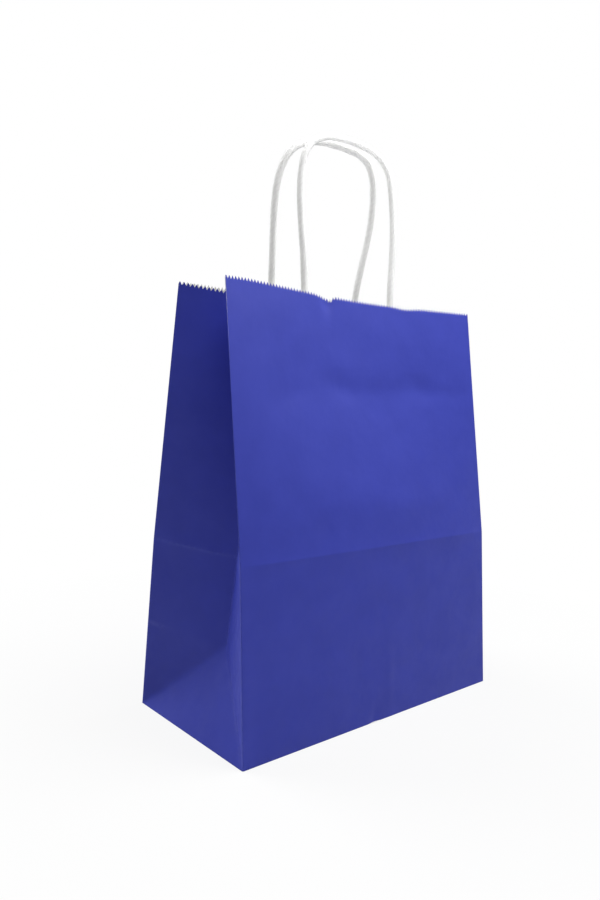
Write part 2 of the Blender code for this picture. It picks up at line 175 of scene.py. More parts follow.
def folded(s, v):
    """The outer face with sharp folds. Each place gets the first panel whose end lies past s."""
    s = np.mod(s, PERIMETER)
    v = np.clip(v, 0, HEIGHT)
    right, left = s - WIDTH, s - 2 * WIDTH - DEPTH
    places = [s < WIDTH, right < HALF_DEPTH, right < DEPTH, left < 0, left < HALF_DEPTH,
              left >= HALF_DEPTH]
    surfaces = [panel(FRONT, np.clip(s, 0, WIDTH) - HALF_WIDTH, v),
                gusset(1, FRONT, np.clip(right, 0, HALF_DEPTH), v),
                gusset(1, BACK, np.clip(DEPTH - right, 0, HALF_DEPTH), v),
                panel(BACK, HALF_WIDTH - np.clip(right - DEPTH, 0, WIDTH), v),
                gusset(-1, BACK, np.clip(left, 0, HALF_DEPTH), v),
                gusset(-1, FRONT, np.clip(DEPTH - left, 0, HALF_DEPTH), v)]
    return np.select([place[..., None] for place in places], surfaces)


probe = folded(np.array([0, HALF_WIDTH]), np.array([HEIGHT, HEIGHT]))
print("rim at the corner and the middle", np.round(probe / MM, 1).tolist())

# %% [markdown]
# ## Soft folds
#
# Real paper doesn't fold to a knife edge: each fold has a radius of about half a millimetre. A fold of
# any direction can be rounded by averaging the folded surface over a small patch of s and v around
# each point. Flat paper isn't changed by that, and the folds turn into little arcs.

# %% Rounding
FOLD_RADIUS = 0.35 * MM
BEND_RADIUS = 0.9 * MM


def rounded(s, v):
    """Mean of the folded surface over five places in s and three in v, closer together at the edges."""
    reach = np.clip(np.minimum(v, HEIGHT - v), 0, BEND_RADIUS)
    total = 0
    for across in (-2, -1, 0, 1, 2):
        for up in (-1, 0, 1):
            total = total + folded(s + across * FOLD_RADIUS, v + up * reach)
    return total / 15


def outward(surface, s, v):
    """Unit normal of a surface of s and v, from its slopes both ways."""
    reach = 0.5 * MM
    low, high = np.clip(v - reach, 0, HEIGHT), np.clip(v + reach, 0, HEIGHT)
    normal = np.cross(surface(s + reach, v) - surface(s - reach, v), surface(s, high) - surface(s, low))
    return normal / np.linalg.norm(normal, axis=-1, keepdims=True)


# %% [markdown]
# ## Dents, waves and the rim
#
# The stiff patch inside the front has pressed the panel in along its lower edge, and handling has left
# a few soft buckles. Each is a bell-shaped dent with a place, a size and a depth, and its axes can be
# turned. The bend across the bag is a low ridge, because the paper there was once folded flat. Broad
# waves of a few tenths of a millimetre go over all of it, and die out at the folds, which hold the
# paper straight. The front's rim isn't straight either: it sags at two places, and one is a sharp nick.

# %% Relief
# Each dent: middle x and height on the front, half sizes across and up, depth in mm, turn in degrees
DENTS = [
    (-14, 213, 15, 7, 0.9, -12),
    (61, 213, 13, 7, 1.1, -8),
    (92, 211, 16, 6, 0.5, 0),
    (24, 213, 26, 6, 0.4, 0),
    (-58, 207, 10, 6, 0.45, 10),
    (22, 243, 8, 8, 0.25, 0),
    (-45, 122, 6, 9, 0.5, -20),
    (-6, 3, 3.5, 7, 0.7, -15),
    (-25, 267, 5, 6, 0.9, 0),
    (8, 26, 5, 22, -0.45, 0),
    (-20, 30, 10, 24, 0.3, 0),
]
DENT_END = 3 * MM
BROAD_WAVES = {"seed": 3, "count": 9, "length": 95 * MM, "depth": 0.28 * MM}
SHORT_WAVES = {"seed": 8, "count": 12, "length": 36 * MM, "depth": 0.09 * MM}
CALM_AT_FOLD, CALM_AT_BEND, CALM_AT_FOOT = 9 * MM, 8 * MM, 12 * MM
RIDGE_HEIGHT, RIDGE_REACH, RIDGE_END = 0.65 * MM, 5 * MM, 12 * MM


def peak(distance, size):
    """exp of minus the square of distance / size: 1 at the place, and nearly 0 at twice the size."""
    return np.exp(-(distance / size) ** 2)


def smooth(share):
    """3 share^2 - 2 share^3: a step from 0 to 1 that starts and ends level."""
    return share * share * (3 - 2 * share)


def bell(x, y, width, height, turn):
    """A peak in two directions, along turned axes, with its own size for each."""
    along = x * math.cos(turn) + y * math.sin(turn)
    across = y * math.cos(turn) - x * math.sin(turn)
    return peak(along, width) * peak(across, height)


def waves(s, v, seed, count, length, depth):
    """Sum of cosines with random directions, lengths near the given one, and random phases."""
    random = np.random.default_rng(seed)
    total = np.zeros(np.broadcast(s, v).shape)
    for _ in range(count):
        angle, phase = random.uniform(0, math.pi), random.uniform(0, 2 * math.pi)
        cycle = 2 * math.pi / (length * random.uniform(0.7, 1.5))
        total += np.cos(cycle * (s * math.cos(angle) + v * math.sin(angle)) + phase)
    return depth * total / math.sqrt(count)


def fold_distance(s, v):
    """Flat distance to the nearest upright fold, and to the level bend."""
    near = np.min([np.abs(np.mod(s, PERIMETER) - fold) for fold in FOLDS], axis=0)
    return near, np.abs(v - BEND_HEIGHT)


def relief(s, v):
    """Height of the dents, the waves and the ridge at the bend, along the outward normal."""
    s = np.mod(s, PERIMETER)
    x = s - HALF_WIDTH
    dents = np.zeros(np.broadcast(s, v).shape)
    for place_x, place_v, width, height, depth, turn in DENTS:
        turned = math.radians(turn)
        dents -= depth * MM * bell(x - place_x * MM, v - place_v * MM, width * MM, height * MM, turned)
    near, bend = fold_distance(s, v)
    calm = (1 - peak(near, CALM_AT_FOLD)) * (1 - 0.8 * peak(bend, CALM_AT_BEND))
    calm = calm * np.clip(v / CALM_AT_FOOT, 0, 1)
    broad = waves(s, v, **BROAD_WAVES) + waves(s, v, **SHORT_WAVES)
    dents = np.where(s < WIDTH, dents * (1 - peak(near, DENT_END)), 0)
    ridge = RIDGE_HEIGHT * np.exp(-bend / RIDGE_REACH) * (1 - peak(near, RIDGE_END))
    return dents + broad * calm + ridge


RIM_RISE, RIM_END, RIM_ZONE = 1.2 * MM, 12 * MM, 42 * MM
NICK, NICK_DEPTH, NICK_LEFT, NICK_RIGHT = -22.5 * MM, 1.9 * MM, 9 * MM, 3.3 * MM
SAG, SAG_DEPTH, SAG_SIZE = 48 * MM, 1.2 * MM, 10 * MM


def rim_lift(s, v):
    """How far the front's rim stands above its plain line: a rise less the nick and the sag, which
    fades at both corners and grows in a smooth step over the rim's own zone."""
    x = np.mod(s, PERIMETER) - HALF_WIDTH
    nick = NICK_DEPTH * peak(x - NICK, np.where(x < NICK, NICK_LEFT, NICK_RIGHT))
    level = RIM_RISE - nick - SAG_DEPTH * peak(x - SAG, SAG_SIZE)
    level = level * (1 - peak(x + HALF_WIDTH, RIM_END)) * peak(np.maximum(x - HALF_WIDTH, 0), RIM_END)
    return level * smooth(np.clip((v - HEIGHT + RIM_ZONE) / RIM_ZONE, 0, 1))


def sheet(s, v):
    """The finished outer face."""
    points = rounded(s, v) + outward(rounded, s, v) * relief(s, v)[..., None]
    return points + np.array([0, 0, 1]) * rim_lift(s, v)[..., None]


deepest = relief(np.array(HALF_WIDTH + 61 * MM), np.array(213 * MM))
print("relief at the deepest dent", round(float(deepest) / MM, 2), "mm")

# %% [markdown]
# ## Meshes from arrays
#
# A sheet of paper is two grids of points, one for each face, joined all round their edges. One helper
# puts arrays of points and faces into a mesh, and one closes two grids into a sheet. The faces of a
# grid are worked out as whole arrays too, so that a hundred thousand of them take no time.


# %% Mesh helpers
def new_piece(name, points, face_groups, looks, look_index, values=None, sharp=50):
    """A mesh from points, arrays of faces with 3 or 4 corners, and a look number for each array.
    values: numbers for each point, by attribute name. sharp: degrees from which an edge stays sharp."""
    corners = np.concatenate([group.ravel() for group in face_groups])
    sizes = np.concatenate([np.full(len(group), group.shape[1]) for group in face_groups])
    starts = np.concatenate([[0], np.cumsum(sizes)[:-1]])
    mesh = bpy.data.meshes.new(name)
    mesh.vertices.add(len(points))
    mesh.vertices.foreach_set("co", np.asarray(points, np.float32).ravel())
    mesh.loops.add(len(corners))
    mesh.loops.foreach_set("vertex_index", corners.astype(np.int32))
    mesh.polygons.add(len(sizes))
    mesh.polygons.foreach_set("loop_start", starts.astype(np.int32))
    index = np.concatenate([np.full(len(group), look) for group, look in zip(face_groups, look_index)])
    mesh.polygons.foreach_set("material_index", index.astype(np.int32))
    mesh.update(calc_edges=True)
    mesh.validate()
    for look in looks:
        mesh.materials.append(look)
    for label, numbers in (values or {}).items():
        attribute = mesh.attributes.new(label, "FLOAT", "POINT")
        attribute.data.foreach_set("value", np.asarray(numbers, np.float32).ravel())
    mesh.shade_smooth()
    mesh.set_sharp_from_angle(angle=math.radians(sharp))
    piece = bpy.data.objects.new(name, mesh)
    bpy.context.scene.collection.objects.link(piece)
    print(f"{name}: {len(points)} points, {len(sizes)} faces")
    return piece


def grid_faces(rows, columns, wrap=False, start=0):
    """Quads of a grid of points, against the clock where columns go right and rows go up."""
    across = columns if wrap else columns - 1
    row, column = np.meshgrid(np.arange(rows - 1), np.arange(across), indexing="ij")
    after = (column + 1) % columns
    quads = np.stack([row * columns + column, row * columns + after,
                      (row + 1) * columns + after, (row + 1) * columns + column], axis=-1)
    return quads.reshape(-1, 4) + start


def joining_faces(first, second, wrap=False):
    """Quads between two lines of points, given by their numbers."""
    after = np.roll(np.arange(len(first)), -1)
    quads = np.stack([first, first[after], second[after], second], axis=-1)
    return quads if wrap else quads[:-1]


def closed_sheet(name, face, back, looks, look_index, values=None):
    """A sheet with its face's and its back's grids, and walls along its four edges: first row, last
    column, last row, first column. look_index: face, back, then those four."""
    rows, columns = face.shape[:2]
    count = rows * columns
    number = np.arange(count).reshape(rows, columns)
    edges = [number[0], number[:, -1], number[-1, ::-1], number[::-1, 0]]
    groups = [grid_faces(rows, columns), grid_faces(rows, columns, start=count)[:, ::-1]]
    groups += [joining_faces(edge, edge + count)[:, ::-1] for edge in edges]
    points = np.concatenate([face.reshape(-1, 3), back.reshape(-1, 3)])
    doubled = {label: np.tile(numbers.ravel(), 2) for label, numbers in (values or {}).items()}
    return new_piece(name, points, groups, looks, look_index, doubled)


# %% [markdown]
# ## The blue paper
#
# The outside is paper with a thin satin coating. It could be one flat blue, but under a lamp the real
# one shows a faint grain, soft mottling where the coating lies thicker, and paler lines where folding
# has cracked it. Along the corner folds the paler line is also a painted highlight, standing in for the
# light that a rounded fold catches. All of that is noise in Object coordinates, apart from the paler
# lines and the torn spot at the nick: they belong to places on the sheet, so they are attributes made
# with the mesh.


# %% Material helpers
def new_material(name, colour, roughness, specular=0.5):
    material = bpy.data.materials.new(name)
    material.use_nodes = True
    shader = material.node_tree.nodes["Principled BSDF"]
    shader.inputs["Base Color"].default_value = (*colour, 1)
    shader.inputs["Roughness"].default_value = roughness
    shader.inputs["Specular IOR Level"].default_value = specular
    return material, material.node_tree, shader


def coordinates(tree, stretch=(1, 1, 1)):
    """Object coordinates, stretched."""
    place = tree.nodes.new("ShaderNodeTexCoord")
    mapping = tree.nodes.new("ShaderNodeMapping")
    mapping.inputs["Scale"].default_value = stretch
    tree.links.new(place.outputs["Object"], mapping.inputs["Vector"])
    return mapping.outputs["Vector"]


def noise(tree, vector, scale, detail=2.0, roughness=0.5):
    node = tree.nodes.new("ShaderNodeTexNoise")
    node.inputs["Scale"].default_value = scale
    node.inputs["Detail"].default_value = detail
    node.inputs["Roughness"].default_value = roughness
    tree.links.new(vector, node.inputs["Vector"])
    return node.outputs["Fac"]


def ranged(tree, value, span, result=(0, 1)):
    """The value with its span of two numbers turned into the result's two, and held at its ends."""
    node = tree.nodes.new("ShaderNodeMapRange")
    for label, number in zip(("From Min", "From Max", "To Min", "To Max"), (*span, *result)):
        node.inputs[label].default_value = number
    tree.links.new(value, node.inputs["Value"])
    return node.outputs["Result"]


def product(tree, first, second):
    node = tree.nodes.new("ShaderNodeMath")
    node.operation = "MULTIPLY"
    for socket, value in zip(node.inputs, (first, second)):
        if isinstance(value, (int, float)):
            socket.default_value = value
        else:
            tree.links.new(value, socket)
    return node.outputs["Value"]


def blend_colours(tree, share, first, second):
    """A colour between two, where either may be three numbers or another node's colour."""
    node = tree.nodes.new("ShaderNodeMix")
    node.data_type = "RGBA"
    tree.links.new(share, node.inputs["Factor"])
    for label, colour in (("A", first), ("B", second)):
        socket = next(s for s in node.inputs if s.name == label and s.type == "RGBA")
        if isinstance(colour, tuple):
            socket.default_value = (*colour, 1)
        else:
            tree.links.new(colour, socket)
    return next(s for s in node.outputs if s.type == "RGBA")


def bump(tree, height, depth, below=None):
    """A bump whose height of 1 is depth metres, over an optional bump below."""
    node = tree.nodes.new("ShaderNodeBump")
    node.inputs["Strength"].default_value = 1
    node.inputs["Distance"].default_value = depth
    tree.links.new(height, node.inputs["Height"])
    if below:
        tree.links.new(below, node.inputs["Normal"])
    return node.outputs["Normal"]


def attribute(tree, name):
    node = tree.nodes.new("ShaderNodeAttribute")
    node.attribute_name = name
    return node.outputs["Fac"]


# %% Blue paper
BLUE = (0.041, 0.057, 0.440)
BLUE_THICK = (0.037, 0.052, 0.415)
# Paler blue of coating cracked at the folds, and of the painted highlight along the corner folds
BLUE_WORN_AND_HIGHLIGHT = (0.110, 0.135, 0.560)
CORE = (0.80, 0.80, 0.80)
CRINKLE_DEPTH, GRAIN_DEPTH = 0.35 * MM, 0.012 * MM


def blue_paper():
    """Mottled between two blues, paler where folds cracked the coating and in a painted highlight along the
    corner folds, white where torn, with a fine grain.
    """
    material, tree, shader = new_material("blue_paper", BLUE, roughness=0.5, specular=0.28)
    place = coordinates(tree)
    mottle = ranged(tree, noise(tree, place, scale=55, detail=3), (0.35, 0.65))
    colour = blend_colours(tree, mottle, BLUE, BLUE_THICK)
    cracks = noise(tree, place, scale=420, detail=3, roughness=0.7)
    broken = ranged(tree, cracks, (0.35, 0.6), (0.25, 1))
    # Paler where folds cracked the coating; along the corner folds also a painted highlight
    colour = blend_colours(tree, product(tree, attribute(tree, "wear_and_highlight"), broken), colour, BLUE_WORN_AND_HIGHLIGHT)
    colour = blend_colours(tree, ranged(tree, attribute(tree, "torn"), (0.2, 0.6)), colour, CORE)
    tree.links.new(colour, shader.inputs["Base Color"])
    satin = ranged(tree, noise(tree, place, scale=160), (0.3, 0.7), (0.46, 0.56))
    tree.links.new(satin, shader.inputs["Roughness"])
    crinkle = bump(tree, noise(tree, place, scale=48, detail=3, roughness=0.55), CRINKLE_DEPTH)
    grain = bump(tree, noise(tree, place, scale=1600, roughness=0.6), GRAIN_DEPTH, crinkle)
    tree.links.new(grain, shader.inputs["Normal"])
    return material


# %% White paper
WHITE = (0.80, 0.80, 0.79)
WHITE_CLOUD = (0.744, 0.744, 0.7347)
WHITE_FIBRE_DEPTH = 0.02 * MM


def white_paper():
    """Uncoated paper: matt, with faint clouds, and fibres that are shorter in Z."""
    material, tree, shader = new_material("white_paper", WHITE, roughness=0.8, specular=0.3)
    clouds = ranged(tree, noise(tree, coordinates(tree), scale=140, detail=3), (0.3, 0.7))
    tree.links.new(blend_colours(tree, clouds, WHITE, WHITE_CLOUD), shader.inputs["Base Color"])
    stretched = coordinates(tree, (1, 1, 2.5))
    fibres = bump(tree, noise(tree, stretched, scale=900, detail=3, roughness=0.6), WHITE_FIBRE_DEPTH)
    tree.links.new(fibres, shader.inputs["Normal"])
    return material


LOOKS = {"blue": blue_paper(), "white": white_paper()}
print("materials", list(LOOKS))

# %% [markdown]
# ## The bag's sheet
#
# The sheet is one grid: columns around the tube, closer at the folds, and rows up its height, closer
# at the bottom, the bend and the rim. Its last row follows the zigzag of the pinking blades. The inner
# face is the same grid, moved in by the paper's thickness, which doubles at the glued lap.

# %% Grid of the sheet
TOOTH_PITCH, TOOTH_DEPTH = 2.5 * MM, 2.1 * MM
LAP_START, LAP_WIDTH = WIDTH + DEPTH + 6 * MM, 18 * MM

even = np.arange(0, PERIMETER - 1e-9, TOOTH_PITCH / 2)
beside = np.add.outer(FOLDS[:-1], np.array([-0.7, -0.35, 0.35, 0.7]) * MM).ravel()
lap = LAP_START + np.array([0.1 * MM, 0.3 * MM, LAP_WIDTH + 0.1 * MM, LAP_WIDTH + 0.3 * MM])
COLUMNS = np.unique(np.round(np.mod(np.concatenate([even, beside, lap]), PERIMETER), 7))
ROWS = np.concatenate([[0, 0.5, 1.2], np.arange(2.5, 58, 2.5), np.arange(62, 104, 5), [106, 108],
                       BEND_HEIGHT / MM + np.array([-1, -0.5, 0, 0.5, 1, 2]), np.arange(115, 260, 4),
                       [261.5, 264, 265.6, 266.8]]) * MM
MARK_LENGTH = 11 * MM
TORN, TORN_SIZE = NICK + 2 * MM, 2.2 * MM


def cut_edge(s):
    """The rim's height: a triangle wave between the roots, one of them on each fold, and the tips."""
    share = np.mod(s / TOOTH_PITCH, 1)
    return HEIGHT - TOOTH_DEPTH * np.abs(2 * share - 1)


def thickness(s):
    """Single paper, and double in the lap."""
    edges = LAP_START + np.array([0, 0.4 * MM, LAP_WIDTH, LAP_WIDTH + 0.4 * MM])
    return PAPER * (1 + np.interp(s, edges, [0, 1, 1, 0]))


def fold_wear_and_highlight(s, v):
    """How much paler the coating is, as a share: cracked by folding in a short mark beside one corner of
    each gusset, the bend across the gussets and the gussets' middle folds; along the corner folds partly
    cracked and partly a painted highlight, where a rounded fold would catch the light."""
    from_corner = np.min(np.abs(np.subtract.outer(s, CORNERS)), axis=-1)
    in_gusset = np.where(s > 2 * WIDTH + DEPTH, s - 2 * WIDTH - DEPTH, s - WIDTH)
    on_gusset = (in_gusset >= 0) & (in_gusset <= DEPTH)
    across = np.where(on_gusset, np.minimum(in_gusset, DEPTH - in_gusset), 1)
    mark = peak(v - HALF_DEPTH, 0.9 * MM) * peak(in_gusset, MARK_LENGTH) * (in_gusset > 0)
    middle = peak(across - HALF_DEPTH, 0.5 * MM) * (v > HALF_DEPTH)
    level = peak(v - BEND_HEIGHT, 1.2 * MM) * (across < HALF_DEPTH)
    # The corner folds' line is partly wear and partly a painted highlight
    return 0.5 * mark + 0.15 * middle + 0.25 * level + 0.28 * peak(from_corner, 0.45 * MM)


def bag_sheet():
    """Both faces as rows by columns, with a lip of two rows turned under along the bottom."""
    s, v = np.meshgrid(COLUMNS, ROWS)
    s, v = np.vstack([s, COLUMNS]), np.vstack([v, cut_edge(COLUMNS)])
    outer = sheet(s, v)
    normal = outward(rounded, s, v)
    inner = outer - normal * thickness(s)[..., None]
    inwards = -normal[0] * np.array([1, 1, 0])
    turn = np.radians([90, 45])[:, None, None]
    lip = outer[0] + WALL_LIFT * ((1 - np.cos(turn)) * inwards - np.sin(turn) * np.array([0, 0, 1]))
    outer = np.concatenate([lip, outer])
    # Pale fold marks: cracked coating, and a painted highlight along the corner folds
    wear_and_highlight = np.vstack([fold_wear_and_highlight(s[:2], v[:2]), fold_wear_and_highlight(s, v)])

    rows, columns = outer.shape[:2]
    inner_rows = inner.shape[0]
    count = rows * columns
    out_number = np.arange(count).reshape(rows, columns)
    in_number = count + np.arange(inner_rows * columns).reshape(inner_rows, columns)
    faces = [grid_faces(rows, columns, wrap=True),
             grid_faces(inner_rows, columns, wrap=True, start=count)[:, ::-1],
             joining_faces(out_number[-1], in_number[-1], wrap=True),
             joining_faces(out_number[0], in_number[0], wrap=True)[:, ::-1]]
    points = np.concatenate([outer.reshape(-1, 3), inner.reshape(-1, 3)])
    wear_and_highlight = np.concatenate([wear_and_highlight.ravel(), np.zeros(inner_rows * columns)])
    torn = np.zeros(len(points))
    torn[out_number[-1]] = peak(COLUMNS - HALF_WIDTH - TORN, TORN_SIZE)
    return new_piece("bag_sheet", points, faces, [LOOKS["blue"], LOOKS["white"]], [0, 1, 1, 0],
                     {"wear_and_highlight": wear_and_highlight, "torn": torn})


bag = bag_sheet()

# %% [markdown]
# ## The folded bottom
#
# Four flaps close the bottom. The front flap is outermost, the back flap lies on it, and the gussets'
# two tongues lie on both. Each is a thin sheet that steps up by a paper's thickness where it runs
# over the one below. They could be flat plates, but the step is what makes them look glued down.

# %% Bottom flaps
FLAP_LENGTH = 65 * MM
HALF_X, HALF_Y = HALF_WIDTH - PAPER / 2, HALF_DEPTH - PAPER / 2
# A flap rises by its paper and a little glue where it runs over another
STEP = 0.27 * MM
RAMP_START, RAMP_WIDTH = 1.6 * MM, 1.5 * MM
TONGUE_INSET, TONGUE_GAP = 0.15 * MM, 0.02 * MM
FLAP_COLUMNS, FLAP_ROWS = 111, 66
TONGUE_COLUMNS, TONGUE_ROWS = 60, 90


def covered(side, x, y):
    """1 on a long flap and 0 beyond it, with a ramp 1.5 mm wide just outside its edges."""
    from_fold = HALF_Y - side * y
    inside = np.minimum(FLAP_LENGTH - from_fold, (HALF_X - np.abs(x) - from_fold) / math.sqrt(2))
    return smooth(np.clip((inside + RAMP_START) / RAMP_WIDTH, 0, 1))


def flap(name, x, y, low):
    """A sheet at height low, blue below and white above, with white cut edges."""
    below, above = stack(x, y, low), stack(x, y, low + PAPER)
    looks = [LOOKS["white"], LOOKS["blue"]]
    return closed_sheet(name, above, below, looks, [0, 1, 0, 0, 0, 0], {"wear_and_highlight": 0 * x})


def long_flap(name, side):
    """A trapezoid from its fold to its free edge, its ends mitred at 45 degrees."""
    across, along = np.meshgrid(np.linspace(-1, 1, FLAP_COLUMNS), np.linspace(0, 1, FLAP_ROWS))
    across, along = (across, along) if side == FRONT else (-across, along)
    y = side * (HALF_Y - along * FLAP_LENGTH)
    x = across * (HALF_X - along * FLAP_LENGTH)
    low = STEP * covered(FRONT, x, y) if side == BACK else 0 * x
    return flap(name, x, y, low)


def tongue(name, end):
    """A rectangle from the gusset's foot, over both long flaps."""
    along, across = np.meshgrid(np.linspace(0, 1, TONGUE_COLUMNS), np.linspace(-1, 1, TONGUE_ROWS))
    x = end * (HALF_X - TONGUE_INSET - along * (FLAP_LENGTH - 2 * TONGUE_INSET))
    y = -end * across * HALF_Y
    low = STEP * (covered(FRONT, x, y) + covered(BACK, x, y))
    return flap(name, x, y, low + TONGUE_GAP)


bottom = [long_flap("front_flap", FRONT), long_flap("back_flap", BACK), tongue("left_tongue", -1),
          tongue("right_tongue", 1)]

# %% [markdown]
# ## The twisted rope handles
#
# Each handle is paper twisted into three strands. It could be a plain tube with a bump texture, but
# the outline would stay smooth. Here the tube's radius is a function of the angle and of the distance
# along it: three grooves that turn once every 13 mm. The route's points lie in the handle's own plane,
# in mm: across the bag from its middle, and up from the rim.

# %% Rope
ROPE = 4.5 * MM
ROPE_TAIL, TAIL_POINTS = 42 * MM, 5
GAP, PATCH_PAPER = 0.3 * MM, 0.2 * MM
ROPE_DEPTH = PAPER + GAP + PATCH_PAPER + GAP + ROPE / 2
STRAND_TURN, GROOVE = 13 * MM, 0.08
RING_POINTS, RING_SPACING = 36, 0.9 * MM
HANDLE_LEAN = {FRONT: math.radians(6), BACK: math.radians(-8)}
ROUTE = {
    FRONT: [(-41, 0), (-41, 12), (-41.2, 25), (-41.9, 38), (-42.3, 50), (-42.4, 62), (-41, 75.8),
            (-37.5, 88.4), (-30.4, 97.7), (-19, 103.4), (-6, 105.9), (7.3, 106.4), (20, 105.3),
            (31.2, 101.6), (39, 93.6), (42, 80.2), (42.7, 64.2), (42.2, 48.3), (40.6, 32),
            (38.2, 15), (37, 0)],
    BACK: [(-43, 0), (-44.6, 12), (-46.3, 26), (-48, 41), (-49.3, 55), (-49.5, 66.6), (-47.4, 78.6),
           (-41.7, 89.6), (-31.4, 96.9), (-18.7, 100.3), (-5.2, 101.4), (7.8, 101.4), (18, 100.3),
           (26.5, 96.6), (32.4, 88.8), (35.9, 77.3), (37.3, 62), (36.7, 47), (34.9, 31),
           (33.2, 15), (32.6, 0)],
}


def behind_panel(side, x, v, depth):
    """A point at a depth behind a panel's outer face, square to it."""
    reach = 1 * MM
    across = panel(side, x + reach, v) - panel(side, x - reach, v)
    upward = panel(side, x, v + reach) - panel(side, x, v - reach)
    normal = side * np.cross(across, upward)
    normal = normal / np.linalg.norm(normal, axis=-1, keepdims=True)
    return panel(side, x, v) + normal * np.asarray(depth)[..., None]


def smooth_curve(points, spacing):
    """Cubic arcs through the points, each with the slope of the chord past it, cut at even steps."""
    points = np.array(points)
    length = np.concatenate([[0], np.cumsum(np.linalg.norm(np.diff(points, axis=0), axis=1))])
    slope = np.gradient(points, length, axis=0)
    fine = np.linspace(0, length[-1], 60 * len(points))
    index = np.clip(np.searchsorted(length, fine, side="right") - 1, 0, len(points) - 2)
    span = (length[index + 1] - length[index])[:, None]
    u = (fine - length[index])[:, None] / span
    start, end = span * slope[index], span * slope[index + 1]
    curve = ((1 - smooth(u)) * points[index] + (u ** 3 - 2 * u ** 2 + u) * start
             + smooth(u) * points[index + 1] + (u ** 3 - u ** 2) * end)
    run = np.concatenate([[0], np.cumsum(np.linalg.norm(np.diff(curve, axis=0), axis=1))])
    steps = np.linspace(0, run[-1], round(run[-1] / spacing) + 1)
    return np.stack([np.interp(steps, run, curve[:, axis]) for axis in range(3)], axis=1)


def handle_path(side):
    """Straight up inside the patch, over the route in its leaning plane, and down again."""
    route = ROUTE[side]
    inside = np.linspace(HEIGHT - ROPE_TAIL, HEIGHT, TAIL_POINTS)
    depth = np.full(TAIL_POINTS, ROPE_DEPTH)
    up = behind_panel(side, route[0][0] * MM + 0 * depth, inside, depth)
    down = behind_panel(side, route[-1][0] * MM + 0 * depth, inside[::-1], depth)
    rim = (up[-1] + down[0]) / 2
    rise = np.array([0, math.sin(HANDLE_LEAN[side]), math.cos(HANDLE_LEAN[side])])
    flat = np.array(route[1:-1]) * MM
    arch = stack(flat[:, 0], rim[1], rim[2]) + rise * flat[:, 1:]
    return smooth_curve(np.concatenate([up, arch, down]), RING_SPACING)


def square_axes(path):
    """Two unit vectors square to the path: +Y less its share along the path, and their cross product.
    The route lies nearly in an upright plane, so +Y is never along it."""
    tangent = np.gradient(path, axis=0)
    tangent /= np.linalg.norm(tangent, axis=1)[:, None]
    first = np.array([0, 1, 0]) - tangent * tangent[:, 1:2]
    first /= np.linalg.norm(first, axis=1)[:, None]
    return first, np.cross(tangent, first)


def rope(name, side):
    """Radius R (0.99 - 0.08 g + w), where g = (1 - |sin 1.5 a|)^3 is the groove at the angle a past the
    strands' own turn, and w is a wobble of up to 3 in 100 along the rope."""
    path = handle_path(side)
    first, second = square_axes(path)
    run = np.concatenate([[0], np.cumsum(np.linalg.norm(np.diff(path, axis=0), axis=1))])
    angle = np.linspace(0, 2 * math.pi, RING_POINTS, endpoint=False)
    along = run[:, None]
    turned = angle[None, :] - 2 * math.pi * along / STRAND_TURN
    groove = (1 - np.abs(np.sin(1.5 * turned))) ** 3
    wobble = 0.02 * np.sin(along / (7.3 * MM) + np.cos(angle)) + 0.012 * np.sin(along / (2.9 * MM))
    radius = ROPE / 2 * (0.99 - GROOVE * groove + wobble)
    cosine, sine = np.cos(angle)[:, None], np.sin(angle)[:, None]
    ring = cosine * first[:, None] + sine * second[:, None]
    surface = path[:, None] + radius[..., None] * ring
    rows, columns = surface.shape[:2]
    ends = np.array([path[0], path[-1]])
    count = rows * columns
    number = np.arange(count).reshape(rows, columns)
    caps = [np.stack([np.full(columns, count), np.roll(number[0], -1), number[0]], axis=1),
            np.stack([np.full(columns, count + 1), number[-1], np.roll(number[-1], -1)], axis=1)]
    points = np.concatenate([surface.reshape(-1, 3), ends])
    values = {"groove": np.append(groove.ravel(), [0, 0]),
              "along": np.append(np.broadcast_to(along, groove.shape).ravel(), [0, run[-1]]) / MM,
              "strand": np.append(np.cos(turned).ravel(), [0, 0]),
              "strand_side": np.append(np.sin(turned).ravel(), [0, 0])}
    faces = [grid_faces(rows, columns, wrap=True), *caps]
    piece = new_piece(name, points, faces, [LOOKS["rope"]], [0, 0, 0], values, sharp=80)
    print(f"{name}: {run[-1] / MM:.0f} mm of rope")
    return piece


ROPE_WHITE = (0.95, 0.95, 0.92)
ROPE_STREAK = (0.89, 0.89, 0.86)
# Painted shade: the colour that the rope's grooves darken to
ROPE_GROOVE_SHADE = (0.80, 0.80, 0.775)
CREASE_DEPTH, FIBRE_DEPTH = 0.12 * MM, 0.03 * MM


